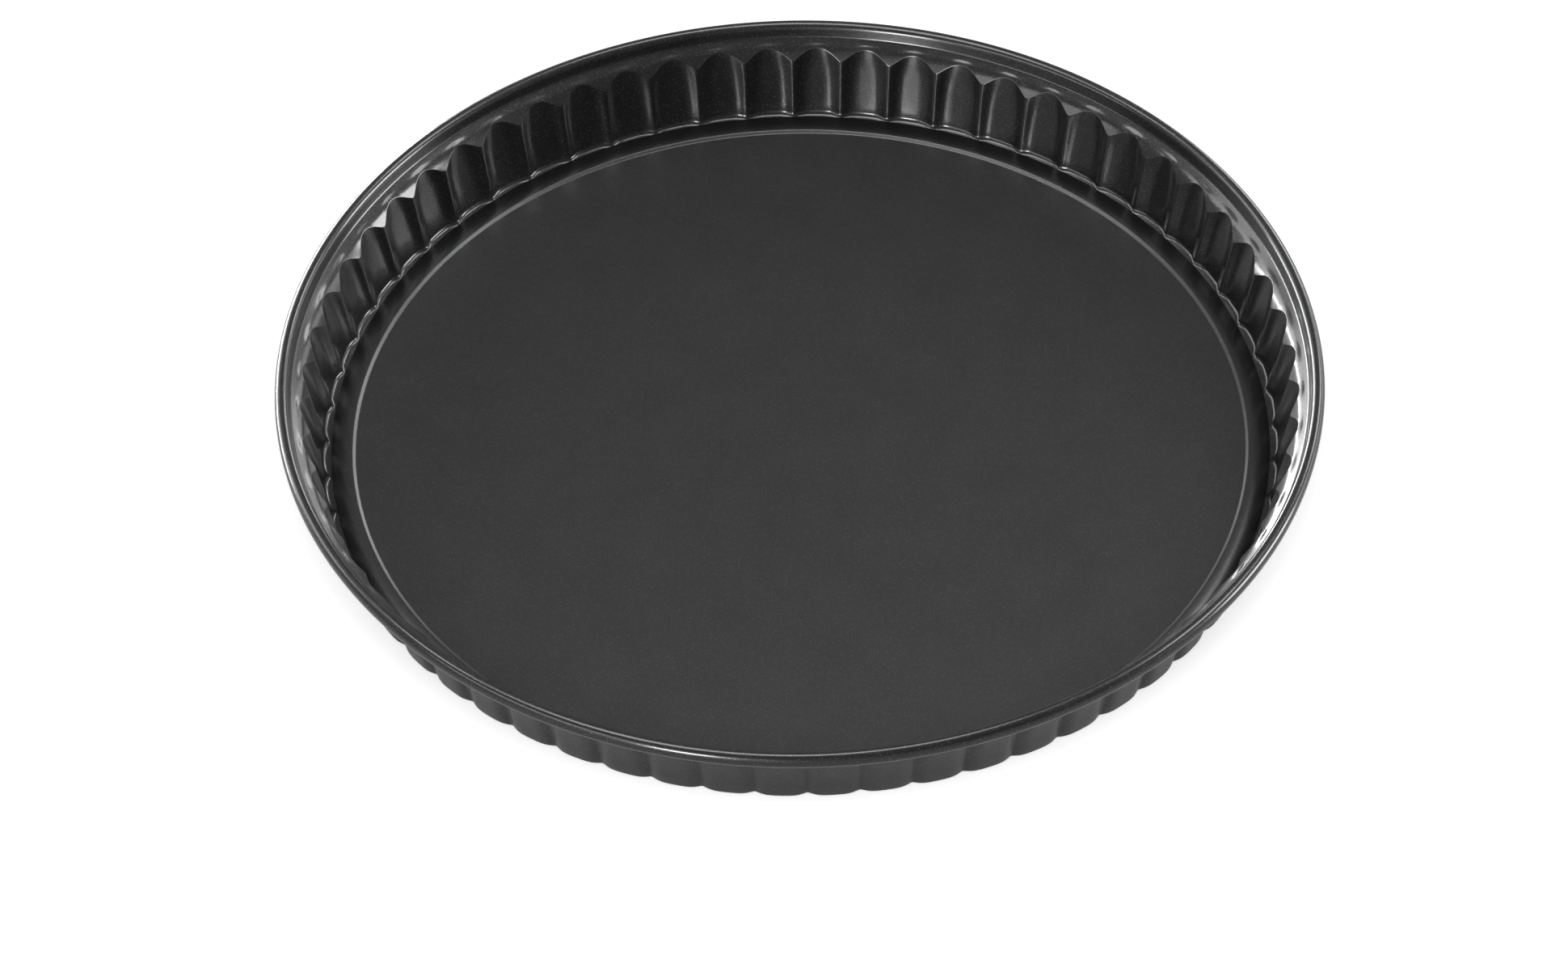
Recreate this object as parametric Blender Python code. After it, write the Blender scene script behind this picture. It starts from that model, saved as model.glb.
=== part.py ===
"""Round fluted tart pan with a lift-out base. Metres, +Z up, origin at the middle of the foot.

The ring is one drawn sheet of coated steel: a foot flange turned inwards, a wall of wide lobes that
meet in narrow ribs, a sloping shoulder, a smooth collar and a rim curled outwards round a wire. The
curl is a little taller than it is wide. The wall is drawn outwards below the shoulder, so each lobe
ends in a round arch and the arches meet in a V on every rib. The loose base lies on the flange.
"""

import math

import bmesh
import bpy
from mathutils import Vector

MM = 0.001
TURN = 2 * math.pi

# Driving dimensions
PAN_HEIGHT = 29.0 * MM
RIM_RADIUS = 150.0 * MM
SHEET = 0.6 * MM
GAP = 0.3 * MM
FLUTES = 60

# Rolled rim: the sheet's inside face runs over the outside of a flattened curl
CURL_RADIUS = 1.9 * MM
CURL_DEPTH = 0.9 * MM
UPPER_CURL_ANGLES = (180, 135, 90, 45, 0)
LOWER_CURL_ANGLES = (-45, -100)

# Collar and shoulder, on the sheet's inside face
CREASE_RADIUS = 145.8 * MM
CREASE_DROP = 4.1 * MM
SHOULDER_RADIUS = 143.9 * MM
SHOULDER_DROP = 5.2 * MM
RIB_SHOULDER_RADIUS = 142.9 * MM
RIB_SHOULDER_DROP = 6.4 * MM

# Top edge of the wall: the top of a lobe's arch and the V where two arches meet on a rib
ARCH_RADIUS = 143.0 * MM
ARCH_DROP = 5.8 * MM
RIB_TOP_RADIUS = 140.7 * MM
RIB_TOP_DROP = 9.2 * MM

# Foot of the wall
WALL_FOOT_RADIUS = 138.8 * MM
WALL_FOOT_HEIGHT = 2.2 * MM
RIB_FOOT_DEPTH = 1.2 * MM
RIB_SOFTNESS = 0.2
COLUMNS_PER_FLUTE = 4

# Foot flange that carries the base
FLANGE_BEND_RADIUS = 137.0 * MM
FLANGE_INNER_RADIUS = 130.0 * MM

# Loose base
BASE_RADIUS = 135.6 * MM
BASE_STEP_OUTER = 130.2 * MM
BASE_STEP_INNER = 129.0 * MM
BASE_COLUMNS = 96

# Rim wire
WIRE_RADIUS = 0.8 * MM
WIRE_SIDES = 6
WIRE_COLUMNS = 96

COATING_COLOUR = (0.028, 0.029, 0.031, 1.0)
WIRE_COLOUR = (0.42, 0.42, 0.43, 1.0)
SHARP_EDGE_ANGLE = math.radians(40)


def clear_scene():
    for old in list(bpy.data.objects):
        bpy.data.objects.remove(old, do_unlink=True)


def make_material(name, colour, roughness, metallic):
    material = bpy.data.materials.new(name)
    material.use_nodes = True
    shader = material.node_tree.nodes["Principled BSDF"]
    shader.inputs["Base Color"].default_value = colour
    shader.inputs["Roughness"].default_value = roughness
    shader.inputs["Metallic"].default_value = metallic
    return material


def add_object(name, shape, material, parent):
    """Turns a bmesh into a named object with outward faces and smooth round sides."""
    bmesh.ops.recalc_face_normals(shape, faces=shape.faces)
    mesh = bpy.data.meshes.new(name)
    shape.to_mesh(mesh)
    shape.free()
    mesh.shade_smooth()
    mesh.set_sharp_from_angle(angle=SHARP_EDGE_ANGLE)
    mesh.materials.append(material)
    piece = bpy.data.objects.new(name, mesh)
    piece.parent = parent
    bpy.context.scene.collection.objects.link(piece)
    return piece


def add_joint_empty(name, place):
    empty = bpy.data.objects.new(name, None)
    empty.location = place
    bpy.context.scene.collection.objects.link(empty)
    return empty


def curl_points():
    """The curl's outside: over its upper centre, down its straight side and under its lower centre."""
    upper = Vector((RIM_RADIUS - CURL_RADIUS, PAN_HEIGHT - CURL_RADIUS))
    lower = upper - Vector((0.0, CURL_DEPTH))
    places = [(upper, angle) for angle in UPPER_CURL_ANGLES] + [(lower, angle) for angle in LOWER_CURL_ANGLES]
    points = []
    for centre, degrees in places:
        angle = math.radians(degrees)
        points.append(centre + CURL_RADIUS * Vector((math.cos(angle), math.sin(angle))))
    return points


def between(on_lobe, on_rib, rib):
    """A (radius, drop) point between its places on a lobe and on a rib, as (radius, height)."""
    radius, drop = Vector(on_lobe).lerp(Vector(on_rib), rib)
    return Vector((radius, PAN_HEIGHT - drop))


def inside_face(rib):
    """Points of the inside face from the flange to the rim; rib is 0 on a lobe and 1 on a rib."""
    foot_depth = RIB_FOOT_DEPTH * rib
    points = [
        Vector((FLANGE_INNER_RADIUS, SHEET)),
        Vector((FLANGE_BEND_RADIUS - foot_depth, SHEET)),
        Vector((WALL_FOOT_RADIUS - foot_depth, WALL_FOOT_HEIGHT)),
        between((ARCH_RADIUS, ARCH_DROP), (RIB_TOP_RADIUS, RIB_TOP_DROP), rib),
        between((SHOULDER_RADIUS, SHOULDER_DROP), (RIB_SHOULDER_RADIUS, RIB_SHOULDER_DROP), rib),
        Vector((CREASE_RADIUS, PAN_HEIGHT - CREASE_DROP)),
    ]
    return points + curl_points()


def offset_outwards(points, distance):
    """Moves each point of a section along the mitre of its two sides, away from the pan's inside."""
    moved = []
    for index, here in enumerate(points):
        before = points[max(index - 1, 0)]
        after = points[min(index + 1, len(points) - 1)]
        sides = [side.normalized() for side in (here - before, after - here) if side.length > 0]
        normals = [Vector((side.y, -side.x)) for side in sides]
        mitre = sum(normals, Vector((0.0, 0.0))).normalized()
        moved.append(here + mitre * distance / mitre.dot(normals[0]))
    return moved


def sheet_section(rib):
    """The closed section of the sheet: its inside face and, back from the rim, its outside face."""
    face = inside_face(rib)
    return face + offset_outwards(face, SHEET)[::-1]


def spin_section(points, columns):
    """Turns a closed (radius, height) section once round +Z; the row layer keeps each point's number."""
    shape = bmesh.new()
    row = shape.verts.layers.int.new("row")
    corners = [shape.verts.new((radius, 0.0, height)) for radius, height in points]
    for number, corner in enumerate(corners):
        corner[row] = number
    edges = [shape.edges.new((a, b)) for a, b in zip(corners, corners[1:] + corners[:1])]
    bmesh.ops.spin(
        shape,
        geom=corners + edges,
        cent=(0, 0, 0),
        axis=(0, 0, 1),
        angle=TURN,
        steps=columns,
        use_merge=True,
    )
    return shape


def rib_share(angle):
    """0 at the middle of a lobe and 1 on a rib: the lobes are round and the ribs between them narrow."""
    lobe = math.sin(FLUTES * angle / 2) ** 2
    soft = RIB_SOFTNESS ** 2
    return (math.sqrt(1 + soft) - math.sqrt(lobe + soft)) / (math.sqrt(1 + soft) - RIB_SOFTNESS)


def press_flutes(shape):
    """Moves every column of the plain ring to the section of its place between a lobe and a rib."""
    row = shape.verts.layers.int["row"]
    for vert in shape.verts:
        angle = math.atan2(vert.co.y, vert.co.x)
        radius, height = sheet_section(rib_share(angle))[vert[row]]
        vert.co = (radius * math.cos(angle), radius * math.sin(angle), height)


def build_fluted_ring(material, parent):
    shape = spin_section(sheet_section(0.0), FLUTES * COLUMNS_PER_FLUTE)
    press_flutes(shape)
    return add_object("fluted_ring", shape, material, parent)


def build_loose_base(material, parent):
    """A disc whose edge lies on the flange and whose middle is stepped down into the opening."""
    edge_low = SHEET + GAP
    edge_high = edge_low + SHEET
    section = [
        (BASE_STEP_INNER - SHEET, GAP),
        (BASE_STEP_INNER + GAP, GAP),
        (BASE_STEP_OUTER - GAP, edge_low),
        (BASE_RADIUS, edge_low),
        (BASE_RADIUS, edge_high),
        (BASE_STEP_OUTER - SHEET, edge_high),
        (BASE_STEP_INNER - SHEET, GAP + SHEET),
    ]
    shape = bmesh.new()
    corners = [shape.verts.new((radius, 0.0, height)) for radius, height in section]
    edges = [shape.edges.new((a, b)) for a, b in zip(corners, corners[1:])]
    bmesh.ops.spin(
        shape,
        geom=corners + edges,
        cent=(0, 0, 0),
        axis=(0, 0, 1),
        angle=TURN,
        steps=BASE_COLUMNS,
        use_merge=True,
    )
    open_edges = [edge for edge in shape.edges if edge.is_boundary]
    bmesh.ops.holes_fill(shape, edges=open_edges, sides=BASE_COLUMNS)
    return add_object("loose_base", shape, material, parent)


def build_rim_wire(material, parent):
    centre_radius = RIM_RADIUS - CURL_RADIUS
    centre_height = PAN_HEIGHT - CURL_RADIUS
    section = []
    for side in range(WIRE_SIDES):
        angle = TURN * side / WIRE_SIDES
        section.append((
            centre_radius + WIRE_RADIUS * math.cos(angle),
            centre_height + WIRE_RADIUS * math.sin(angle),
        ))
    return add_object("rim_wire", spin_section(section, WIRE_COLUMNS), material, parent)


clear_scene()
coated_steel = make_material("coated_steel", COATING_COLOUR, 0.35, 0.6)
bright_wire = make_material("bright_wire", WIRE_COLOUR, 0.3, 1.0)
ring_body = add_joint_empty("ring_body", (0, 0, 0))
lift_axis = add_joint_empty("base_lift_axis", (0, 0, 0))
lift_axis.parent = ring_body
build_fluted_ring(coated_steel, ring_body)
build_rim_wire(bright_wire, ring_body)
build_loose_base(coated_steel, lift_axis)
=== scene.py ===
"""Round fluted tart pan with a loose base, in dark non-stick coated steel, on a pale floor."""

import math

import bmesh
import bpy
from mathutils import Matrix, Vector


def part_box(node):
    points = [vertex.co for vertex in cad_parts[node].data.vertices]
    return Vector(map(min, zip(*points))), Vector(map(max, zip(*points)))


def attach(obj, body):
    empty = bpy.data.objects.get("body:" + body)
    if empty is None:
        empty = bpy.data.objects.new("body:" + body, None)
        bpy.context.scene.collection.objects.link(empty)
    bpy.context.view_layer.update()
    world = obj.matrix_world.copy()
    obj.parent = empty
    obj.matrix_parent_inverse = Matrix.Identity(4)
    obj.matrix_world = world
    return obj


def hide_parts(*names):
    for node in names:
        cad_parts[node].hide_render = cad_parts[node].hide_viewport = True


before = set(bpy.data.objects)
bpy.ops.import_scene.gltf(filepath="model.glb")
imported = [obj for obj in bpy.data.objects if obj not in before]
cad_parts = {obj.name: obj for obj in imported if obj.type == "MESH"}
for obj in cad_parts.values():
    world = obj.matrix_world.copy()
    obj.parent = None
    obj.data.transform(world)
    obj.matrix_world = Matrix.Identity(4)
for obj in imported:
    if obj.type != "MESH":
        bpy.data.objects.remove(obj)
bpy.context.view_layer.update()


# ---- Fluted ring ----
# One deep-drawn sheet of steel, coated before it is formed. The press leaves a flange at the foot, 60
# flutes whose lobes end in arches, a sloping shoulder and a smooth collar; the edge is curled outwards.
ring_low, ring_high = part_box("fluted_ring")
rim_radius = ring_high.y
rim_height = ring_high.z
sheet = 0.0006
flutes = 60
columns_per_flute = 14
rib_softness = 0.2
column_crowding = 0.4

curl_radius = 0.0019
curl_depth = 0.0009
curl_end = math.radians(-100)
curl_steps = 7

flange_edge = (0.1300, sheet)
flange_bend = (0.1312, sheet)
foot_corner = (0.1381, sheet)
foot_rounding = 0.0016
rib_depth_foot = 0.0012
rib_depth_top = 0.0024
groove_sharpness = 2.4
wall_rows = (0.25, 0.5, 0.7, 0.85)

crease = (0.1458, rim_height - 0.0041)
crease_rounding = 0.0014
shoulder_bend = (0.14274, rim_height - 0.00630)
shoulder_bend_rounding = 0.007
arch_top_radius = 0.1430
rib_top = (0.1406, rim_height - 0.0093)
arch_rounding = 0.0007
shoulder_rows = 10
shoulder_start = 0.0009
shoulder_stop = 0.0005
bend_steps = 8
corner_steps = 4
crease_steps = 3
lobe_lift = 0.00034
lobe_lift_start = 0.1446


def round_corner(before, corner, after, radius, steps):
    """Points of an arc of the given radius that joins the two sides of a corner."""
    corner = Vector(corner)
    back = (Vector(before) - corner).normalized()
    ahead = (Vector(after) - corner).normalized()
    half_angle = back.angle(ahead) / 2
    reach = radius / math.tan(half_angle)
    centre = corner + (back + ahead).normalized() * radius / math.sin(half_angle)
    start = corner + back * reach - centre
    end = corner + ahead * reach - centre
    turn = start.angle_signed(end)
    return [centre + Matrix.Rotation(-turn * step / steps, 2) @ start for step in range(steps + 1)]


shoulder = [Vector(rib_top)]
shoulder += round_corner(rib_top, shoulder_bend, crease, shoulder_bend_rounding, bend_steps)
shoulder += [Vector(crease)]


def shoulder_height(radius, lobe):
    """Height of the sloping shoulder, which stands a little higher at the top edge of each lobe."""
    lift = min(max((lobe_lift_start - radius) / (lobe_lift_start - arch_top_radius), 0.0), 1.0)
    lift = lobe_lift * lift * lift * (3 - 2 * lift) * lobe * lobe
    for inner, outer in zip(shoulder, shoulder[1:]):
        if radius <= outer.x:
            break
    return inner.y + (outer.y - inner.y) * (radius - inner.x) / (outer.x - inner.x) + lift


def ring_section(lobe):
    """The ring's outline from the flange to the end of the curl; lobe is 1 on a lobe and 0 on a rib."""
    widest = math.sqrt(1 + rib_softness ** 2)
    rib = (widest - math.sqrt(lobe + rib_softness ** 2)) / (widest - rib_softness)
    foot = Vector(foot_corner) - Vector((rib_depth_foot * rib ** groove_sharpness, 0))
    edge_radius = arch_top_radius + (rib_top[0] - arch_top_radius) * rib
    edge = Vector((edge_radius, shoulder_height(edge_radius, lobe)))
    above_radius = edge_radius + shoulder_start
    above = Vector((above_radius, shoulder_height(above_radius, lobe)))
    collar_top = Vector((rim_radius - 2 * curl_radius, rim_height - curl_radius))
    points = [Vector(flange_edge), Vector(flange_bend)]
    points += round_corner(flange_edge, foot, edge, foot_rounding, corner_steps)
    for share in wall_rows:
        sharpness = groove_sharpness + (1 - groove_sharpness) * share ** 3
        depth = (rib_depth_foot + (rib_depth_top - rib_depth_foot) * share) * rib ** sharpness
        radius = foot_corner[0] + (arch_top_radius - foot_corner[0]) * share - depth
        points.append(Vector((radius, foot.y + (edge.y - foot.y) * share)))
    points += round_corner(points[-1], edge, above, arch_rounding, corner_steps)
    for row in range(shoulder_rows):
        radius = above_radius + (crease[0] - shoulder_stop - above_radius) * row / (shoulder_rows - 1)
        points.append(Vector((radius, shoulder_height(radius, lobe))))
    points += round_corner(shoulder[-2], crease, collar_top, crease_rounding, crease_steps)
    centre = Vector((rim_radius - curl_radius, rim_height - curl_radius))
    for first, last in ((math.pi, 0.0), (0.0, curl_end)):
        for step in range(curl_steps + 1):
            angle = first + (last - first) * step / curl_steps
            points.append(centre + curl_radius * Vector((math.cos(angle), math.sin(angle))))
        centre = centre - Vector((0, curl_depth))
    return points


def spin_outline(outline, columns):
    """Turns an outline of (radius, height) points once round the upright axis, numbering its rows."""
    shape = bmesh.new()
    row = shape.verts.layers.int.new("row")
    corners = [shape.verts.new((radius, 0.0, height)) for radius, height in outline]
    for number, corner in enumerate(corners):
        corner[row] = number
    edges = [shape.edges.new(pair) for pair in zip(corners, corners[1:])]
    bmesh.ops.spin(
        shape,
        geom=corners + edges,
        cent=(0, 0, 0),
        axis=(0, 0, 1),
        angle=2 * math.pi,
        steps=columns,
        use_merge=True,
    )
    bmesh.ops.remove_doubles(shape, verts=shape.verts, dist=0.000001)
    bmesh.ops.recalc_face_normals(shape, faces=shape.faces)
    return shape


def press_flutes(shape):
    """Moves every column to its section between a lobe and a rib, and crowds the columns at the ribs."""
    row = shape.verts.layers.int["row"]
    sections = {}
    for vert in shape.verts:
        plain_angle = math.atan2(vert.co.y, vert.co.x)
        angle = plain_angle - column_crowding / flutes * math.sin(flutes * plain_angle)
        lobe = round(math.sin(flutes * angle / 2) ** 2, 5)
        if lobe not in sections:
            sections[lobe] = ring_section(lobe)
        radius, height = sections[lobe][vert[row]]
        vert.co = (radius * math.cos(angle), radius * math.sin(angle), height)


def finish_sheet(name, shape, thickness, material, up_at):
    """Makes a sheet's mesh an object whose thickness lies under the face that looks up at one radius."""
    top = min(shape.faces, key=lambda face: abs(face.calc_center_median().xy.length - up_at))
    if top.normal.z < 0:
        bmesh.ops.reverse_faces(shape, faces=shape.faces)
    mesh = bpy.data.meshes.new(name)
    shape.to_mesh(mesh)
    shape.free()
    mesh.shade_smooth()
    mesh.materials.append(material)
    piece = bpy.data.objects.new(name, mesh)
    bpy.context.scene.collection.objects.link(piece)
    wall = piece.modifiers.new("sheet thickness", "SOLIDIFY")
    wall.thickness = thickness
    wall.offset = -1
    wall.use_even_offset = True
    return piece


def make_speckle_group():
    """Baked-on coating: a fine orange peel with small light flecks in it."""
    group = bpy.data.node_groups.new("baked coating", "ShaderNodeTree")
    group.interface.new_socket("Grain Scale", in_out="INPUT", socket_type="NodeSocketFloat")
    group.interface.new_socket("Fleck Scale", in_out="INPUT", socket_type="NodeSocketFloat")
    group.interface.new_socket("Fleck Amount", in_out="INPUT", socket_type="NodeSocketFloat")
    group.interface.new_socket("Flecks", in_out="OUTPUT", socket_type="NodeSocketFloat")
    group.interface.new_socket("Mottle", in_out="OUTPUT", socket_type="NodeSocketFloat")
    group.interface.new_socket("Height", in_out="OUTPUT", socket_type="NodeSocketFloat")
    nodes, links = group.nodes, group.links
    start = nodes.new("NodeGroupInput")
    end = nodes.new("NodeGroupOutput")
    place = nodes.new("ShaderNodeTexCoord")
    peel = nodes.new("ShaderNodeTexNoise")
    peel.inputs["Detail"].default_value = 3.0
    fleck = nodes.new("ShaderNodeTexVoronoi")
    cut = nodes.new("ShaderNodeMapRange")
    cut.inputs["From Min"].default_value = 0.45
    cut.inputs["From Max"].default_value = 0.10
    split = nodes.new("ShaderNodeSeparateColor")
    clump = nodes.new("ShaderNodeTexNoise")
    clump.inputs["Scale"].default_value = 350.0
    clump.inputs["Detail"].default_value = 2.0
    dense = nodes.new("ShaderNodeMath")
    dense.operation = "MULTIPLY"
    pick = nodes.new("ShaderNodeMath")
    pick.operation = "LESS_THAN"
    both = nodes.new("ShaderNodeMath")
    both.operation = "MULTIPLY"
    strength = nodes.new("ShaderNodeMath")
    strength.operation = "MULTIPLY"
    cloud = nodes.new("ShaderNodeTexNoise")
    cloud.inputs["Scale"].default_value = 60.0
    cloud.inputs["Detail"].default_value = 4.0
    links.new(place.outputs["Object"], peel.inputs["Vector"])
    links.new(place.outputs["Object"], fleck.inputs["Vector"])
    links.new(place.outputs["Object"], clump.inputs["Vector"])
    links.new(place.outputs["Object"], cloud.inputs["Vector"])
    links.new(start.outputs["Grain Scale"], peel.inputs["Scale"])
    links.new(start.outputs["Fleck Scale"], fleck.inputs["Scale"])
    links.new(fleck.outputs["Distance"], cut.inputs["Value"])
    links.new(fleck.outputs["Color"], split.inputs["Color"])
    links.new(clump.outputs["Fac"], dense.inputs[0])
    links.new(start.outputs["Fleck Amount"], dense.inputs[1])
    links.new(split.outputs["Red"], pick.inputs[0])
    links.new(dense.outputs["Value"], pick.inputs[1])
    links.new(cut.outputs["Result"], both.inputs[0])
    links.new(pick.outputs["Value"], both.inputs[1])
    links.new(both.outputs["Value"], strength.inputs[0])
    links.new(split.outputs["Green"], strength.inputs[1])
    proud = nodes.new("ShaderNodeMath")
    proud.operation = "MULTIPLY_ADD"
    proud.inputs[1].default_value = 1.5
    links.new(strength.outputs["Value"], end.inputs["Flecks"])
    links.new(strength.outputs["Value"], proud.inputs[0])
    links.new(peel.outputs["Fac"], proud.inputs[2])
    links.new(cloud.outputs["Fac"], end.inputs["Mottle"])
    links.new(proud.outputs["Value"], end.inputs["Height"])
    return group


baked_coating = make_speckle_group()


def make_coating(name, dark, light, roughness, coat_roughness):
    """Charcoal non-stick coating with its grain, flecks and slight cloudiness."""
    material = bpy.data.materials.new(name)
    material.use_nodes = True
    nodes, links = material.node_tree.nodes, material.node_tree.links
    shader = nodes["Principled BSDF"]
    shader.inputs["Metallic"].default_value = 0.5
    shader.inputs["Specular IOR Level"].default_value = 0.3
    shader.inputs["Coat Weight"].default_value = 0.9
    shader.inputs["Coat Roughness"].default_value = coat_roughness
    shader.inputs["Coat IOR"].default_value = 1.42
    coating = nodes.new("ShaderNodeGroup")
    coating.node_tree = baked_coating
    coating.inputs["Grain Scale"].default_value = 2600.0
    coating.inputs["Fleck Scale"].default_value = 2800.0
    coating.inputs["Fleck Amount"].default_value = 0.7
    cloudy = nodes.new("ShaderNodeMix")
    cloudy.data_type = "RGBA"
    cloudy.inputs["A"].default_value = (*[0.85 * part for part in dark], 1)
    cloudy.inputs["B"].default_value = (*[1.15 * part for part in dark], 1)
    flecked = nodes.new("ShaderNodeMix")
    flecked.data_type = "RGBA"
    flecked.inputs["B"].default_value = (*light, 1)
    satin = nodes.new("ShaderNodeMapRange")
    satin.inputs["To Min"].default_value = roughness * 0.88
    satin.inputs["To Max"].default_value = roughness * 1.12
    bump = nodes.new("ShaderNodeBump")
    bump.inputs["Strength"].default_value = 0.25
    bump.inputs["Distance"].default_value = 0.00003
    links.new(coating.outputs["Mottle"], cloudy.inputs["Factor"])
    links.new(cloudy.outputs["Result"], flecked.inputs["A"])
    links.new(coating.outputs["Flecks"], flecked.inputs["Factor"])
    links.new(flecked.outputs["Result"], shader.inputs["Base Color"])
    links.new(coating.outputs["Mottle"], satin.inputs["Value"])
    links.new(satin.outputs["Result"], shader.inputs["Roughness"])
    links.new(coating.outputs["Height"], bump.inputs["Height"])
    links.new(bump.outputs["Normal"], shader.inputs["Normal"])
    return material


ring_coating = make_coating("ring coating", (0.014, 0.0143, 0.0152), (0.16, 0.16, 0.165), 0.42, 0.16)

ring_shape = spin_outline(ring_section(1.0), flutes * columns_per_flute)
press_flutes(ring_shape)
ring = finish_sheet("coated_fluted_ring", ring_shape, sheet, ring_coating, flange_edge[0])
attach(ring, "ring")
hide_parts("fluted_ring")


# ---- Loose base ----
# A disc stamped from the same coated sheet. A small step near its edge drops the middle into the
# ring's opening, so the edge lies on the flange and the disc stays centred. It lifts straight out.
base_low, base_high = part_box("loose_base")
base_radius = base_high.y
base_top = base_high.z
base_middle_top = base_low.z + sheet
step_inner = 0.1286
step_outer = 0.1296
step_rounding = 0.0008
base_columns = 256

base_coating = make_coating("base coating", (0.014, 0.0143, 0.0152), (0.10, 0.10, 0.105), 0.45, 0.30)

base_rings = (0.0, 0.02, 0.05, 0.08, 0.11)
step_foot = (step_inner, base_middle_top)
step_top = (step_outer, base_top)
base_edge = (base_radius, base_top)
base_outline = [Vector((radius, base_middle_top)) for radius in base_rings]
base_outline += round_corner(base_outline[-1], step_foot, step_top, step_rounding, corner_steps)
base_outline += round_corner(step_foot, step_top, base_edge, step_rounding, corner_steps)
base_outline += [Vector(base_edge)]
base_shape = spin_outline(base_outline, base_columns)
base = finish_sheet("coated_loose_base", base_shape, sheet, base_coating, base_rings[2])
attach(base, "base")
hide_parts("loose_base")


# ---- Rim wire ----
# A drawn steel wire, bent to a hoop and butted. The sheet's edge is curled over it to stiffen the rim.
wire_low, wire_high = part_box("rim_wire")
wire_radius = 0.0008
wire_centre = Vector((wire_high.y - wire_radius, (wire_low.z + wire_high.z) / 2))
wire_sides = 12
wire_columns = 240

wire_steel = bpy.data.materials.new("wire steel")
wire_steel.use_nodes = True
wire_nodes, wire_links = wire_steel.node_tree.nodes, wire_steel.node_tree.links
wire_shader = wire_nodes["Principled BSDF"]
wire_shader.inputs["Metallic"].default_value = 1.0
wire_place = wire_nodes.new("ShaderNodeTexCoord")
drawing_marks = wire_nodes.new("ShaderNodeTexNoise")
drawing_marks.inputs["Scale"].default_value = 900.0
wire_tone = wire_nodes.new("ShaderNodeMapRange")
wire_tone.inputs["To Min"].default_value = 0.35
wire_tone.inputs["To Max"].default_value = 0.6
wire_satin = wire_nodes.new("ShaderNodeMapRange")
wire_satin.inputs["To Min"].default_value = 0.25
wire_satin.inputs["To Max"].default_value = 0.45
wire_links.new(wire_place.outputs["Object"], drawing_marks.inputs["Vector"])
wire_links.new(drawing_marks.outputs["Fac"], wire_tone.inputs["Value"])
wire_links.new(drawing_marks.outputs["Fac"], wire_satin.inputs["Value"])
wire_links.new(wire_tone.outputs["Result"], wire_shader.inputs["Base Color"])
wire_links.new(wire_satin.outputs["Result"], wire_shader.inputs["Roughness"])

wire_outline = []
for side in range(wire_sides + 1):
    angle = 2 * math.pi * side / wire_sides
    wire_outline.append(wire_centre + wire_radius * Vector((math.cos(angle), math.sin(angle))))
wire_shape = spin_outline(wire_outline, wire_columns)
wire_mesh = bpy.data.meshes.new("rim_hoop_wire")
wire_shape.to_mesh(wire_mesh)
wire_shape.free()
wire_mesh.shade_smooth()
wire_mesh.materials.append(wire_steel)
wire = bpy.data.objects.new("rim_hoop_wire", wire_mesh)
bpy.context.scene.collection.objects.link(wire)
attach(wire, "ring")
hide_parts("rim_wire")


# ---- Floor ----
# A wide, plain, pale studio floor that the pan stands on. It glows a little to the camera, like a light
# table, and is clear from below.
floor_half_width = 30.0
floor_tone = (0.90, 0.90, 0.90, 1.0)
floor_glow_strength = 0.62

floor_material = bpy.data.materials.new("pale floor")
floor_material.use_nodes = True
floor_nodes, floor_links = floor_material.node_tree.nodes, floor_material.node_tree.links
floor_shader = floor_nodes["Principled BSDF"]
floor_shader.inputs["Base Color"].default_value = floor_tone
floor_shader.inputs["Roughness"].default_value = 0.9
floor_shader.inputs["Specular IOR Level"].default_value = 0.1
floor_shader.inputs["Emission Color"].default_value = (1, 1, 1, 1)
floor_glow = floor_nodes.new("ShaderNodeMath")
floor_glow.operation = "MULTIPLY"
floor_glow.inputs[1].default_value = floor_glow_strength
floor_path = floor_nodes.new("ShaderNodeLightPath")
floor_side = floor_nodes.new("ShaderNodeNewGeometry")
floor_clear = floor_nodes.new("ShaderNodeBsdfTransparent")
floor_mix = floor_nodes.new("ShaderNodeMixShader")
floor_links.new(floor_path.outputs["Is Camera Ray"], floor_glow.inputs[0])
floor_links.new(floor_glow.outputs["Value"], floor_shader.inputs["Emission Strength"])
floor_links.new(floor_side.outputs["Backfacing"], floor_mix.inputs["Fac"])
floor_links.new(floor_shader.outputs["BSDF"], floor_mix.inputs[1])
floor_links.new(floor_clear.outputs["BSDF"], floor_mix.inputs[2])
floor_links.new(floor_mix.outputs["Shader"], floor_nodes["Material Output"].inputs["Surface"])

floor_shape = bmesh.new()
bmesh.ops.create_grid(floor_shape, x_segments=1, y_segments=1, size=floor_half_width)
floor_mesh = bpy.data.meshes.new("floor")
floor_shape.to_mesh(floor_mesh)
floor_shape.free()
floor_mesh.materials.append(floor_material)
floor = bpy.data.objects.new("floor", floor_mesh)
bpy.context.scene.collection.objects.link(floor)


# ---- Studio light ----
# Large soft boxes in a dim, plain room, placed by the side that they stand on and their height angle.
# The front key box lights the pan and the floor. The others show only as reflections in the coating.
room_tone = (0.80, 0.80, 0.80, 1)
room_brightness = 0.22
softbox_distance = 2.5

room = bpy.data.worlds.new("plain room")
room.use_nodes = True
room.node_tree.nodes["Background"].inputs["Color"].default_value = room_tone
room.node_tree.nodes["Background"].inputs["Strength"].default_value = room_brightness
bpy.context.scene.world = room
bpy.context.scene.view_settings.view_transform = "Standard"


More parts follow.
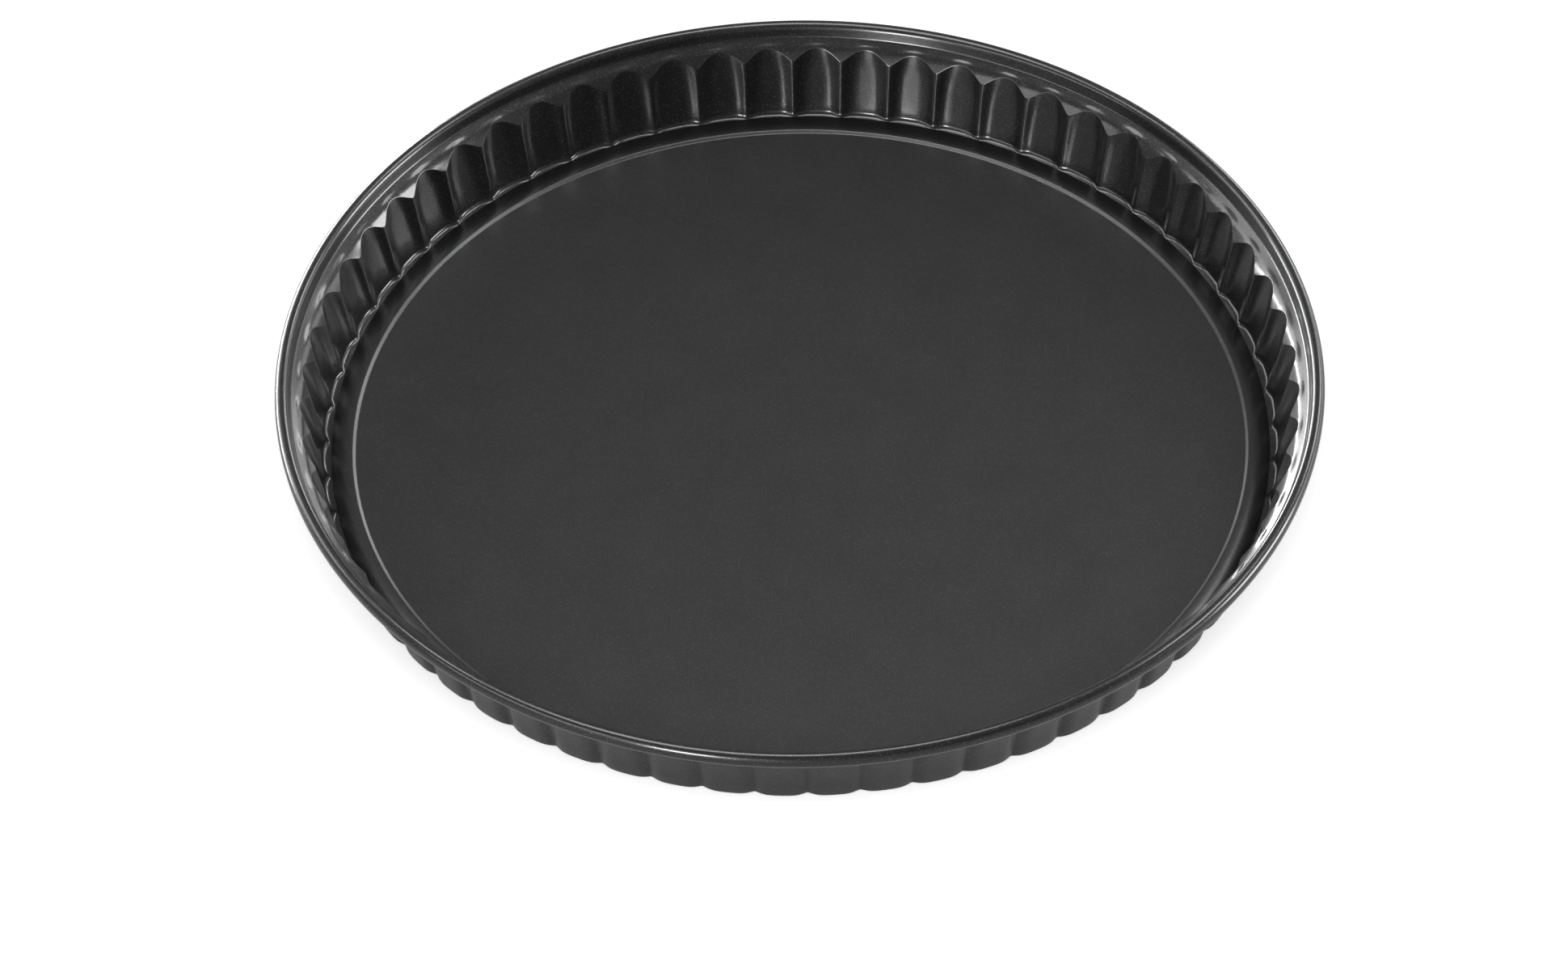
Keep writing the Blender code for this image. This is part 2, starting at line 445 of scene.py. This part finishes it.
def add_softbox(name, side_angle, height_angle, width, height, brightness, only_reflected=True):
    """A soft box that faces the pan. side_angle 0 is to the right of it and 90 is behind it."""
    side = math.radians(side_angle)
    rise = math.radians(height_angle)
    towards = Vector((math.cos(side) * math.cos(rise), math.sin(side) * math.cos(rise), math.sin(rise)))
    lamp = bpy.data.lights.new(name, "AREA")
    lamp.shape = "RECTANGLE"
    lamp.size = width
    lamp.size_y = height
    lamp.energy = brightness * width * height * math.pi
    box = bpy.data.objects.new(name, lamp)
    box.location = towards * softbox_distance
    box.rotation_euler = towards.to_track_quat("Z", "Y").to_euler()
    box.visible_camera = False
    box.visible_diffuse = not only_reflected
    box.visible_glossy = only_reflected
    bpy.context.scene.collection.objects.link(box)


add_softbox("front key box", 270, 62, 2.2, 2.0, 3.2, only_reflected=False)
add_softbox("overhead box", 120, 78, 1.6, 0.8, 9.0)
add_softbox("back left low box", 132, 3.5, 2.2, 0.4, 38.0)
add_softbox("back left middle box", 135, 16, 1.8, 0.65, 5.5)
add_softbox("back left high box", 157, 32, 1.0, 0.8, 5.0)
add_softbox("left upper box", 157, 58, 0.7, 0.4, 9.0)
add_softbox("back right low box", 45, 10, 2.2, 0.8, 2.5)
add_softbox("back right box", 62, 20, 0.6, 0.45, 9.0)
add_softbox("back right middle box", 47, 35, 0.7, 0.5, 11.0)
add_softbox("back right high box", 26, 55, 0.8, 0.5, 12.0)
add_softbox("right box", 5, 12, 1.0, 1.0, 18.0)
add_softbox("front left long box", 215, 25, 1.6, 0.8, 4.0)
add_softbox("front left streak box", 248, 12, 0.5, 0.8, 40.0)


# ---- Camera ----
# A long lens about a metre and a half away looks down on the pan from the front, a little past its middle.
aim = Vector((-0.00491, -0.04580, rim_height))
camera_side = math.radians(-89.970)
camera_rise = math.radians(45.906)
camera_distance = 1.5495
camera_roll = math.radians(-1.024)

camera_data = bpy.data.cameras.new("camera")
camera_data.lens = 126.96
camera_data.sensor_width = 36.0
camera_data.clip_end = 100.0
camera = bpy.data.objects.new("camera", camera_data)
towards_camera = Vector((
    math.cos(camera_side) * math.cos(camera_rise),
    math.sin(camera_side) * math.cos(camera_rise),
    math.sin(camera_rise),
))
camera.location = aim + towards_camera * camera_distance
level = towards_camera.to_track_quat("Z", "Y").to_matrix()
camera.rotation_euler = (level @ Matrix.Rotation(camera_roll, 3, "Z")).to_euler()
bpy.context.scene.collection.objects.link(camera)
bpy.context.scene.camera = camera
